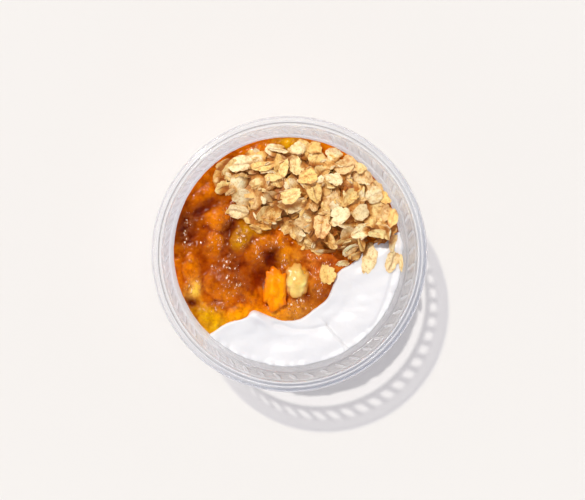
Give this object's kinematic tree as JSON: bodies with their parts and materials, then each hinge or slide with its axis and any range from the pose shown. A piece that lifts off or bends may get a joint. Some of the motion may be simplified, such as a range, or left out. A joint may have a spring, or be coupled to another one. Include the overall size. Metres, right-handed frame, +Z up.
{
  "type": "yogurt parfait",
  "caption": "Yogurt parfait in a clear round disposable cup: thick yogurt, glossy fruit compote with soft chunks, and a heap of toasted oats.",
  "frame": {"origin": "centre of the cup's flat base, on the surface it stands on", "axes": "+Z up along the cup's axis; +X points to the side where the yogurt is lowest and most open, seen from above with the oat heap at the back; +Y points to the back, where the oats lie"},
  "size_m": [0.117, 0.117, 0.06],
  "materials": {
    "clear_plastic": "clear, thin, glossy",
    "yogurt_white": "soft satin sheen",
    "compote_amber": "wet glossy syrup",
    "toasted_oats": "dry and matte",
    "fruit_pale": "soft cooked fruit under syrup",
    "fruit_orange": "soft cooked fruit under syrup",
    "fruit_front": "soft cooked fruit under syrup",
    "fruit_right": "soft cooked fruit under syrup",
    "fruit_low_left": "soft cooked fruit under syrup",
    "fruit_low": "soft cooked fruit under syrup",
    "fruit_left": "soft cooked fruit under syrup",
    "fruit_big": "soft cooked fruit under syrup",
    "fruit_dome": "soft cooked fruit under syrup",
    "fruit_side": "soft cooked fruit under syrup",
    "fruit_middle": "soft cooked fruit under syrup",
    "fruit_inner": "soft cooked fruit under syrup"
  },
  "bodies": {
    "root": {"cup": "clear_plastic", "yogurt": "yogurt_white", "compote": "compote_amber", "oats": "toasted_oats", "fruit_chunk_pale": "fruit_pale", "fruit_chunk_orange": "fruit_orange", "fruit_chunk_front": "fruit_front", "fruit_chunk_right": "fruit_right", "fruit_chunk_low_left": "fruit_low_left", "fruit_chunk_low": "fruit_low", "fruit_chunk_left": "fruit_left", "fruit_chunk_big": "fruit_big", "fruit_chunk_dome": "fruit_dome", "fruit_chunk_side": "fruit_side", "fruit_chunk_middle": "fruit_middle", "fruit_chunk_inner": "fruit_inner"}
  },
  "joints": []
}
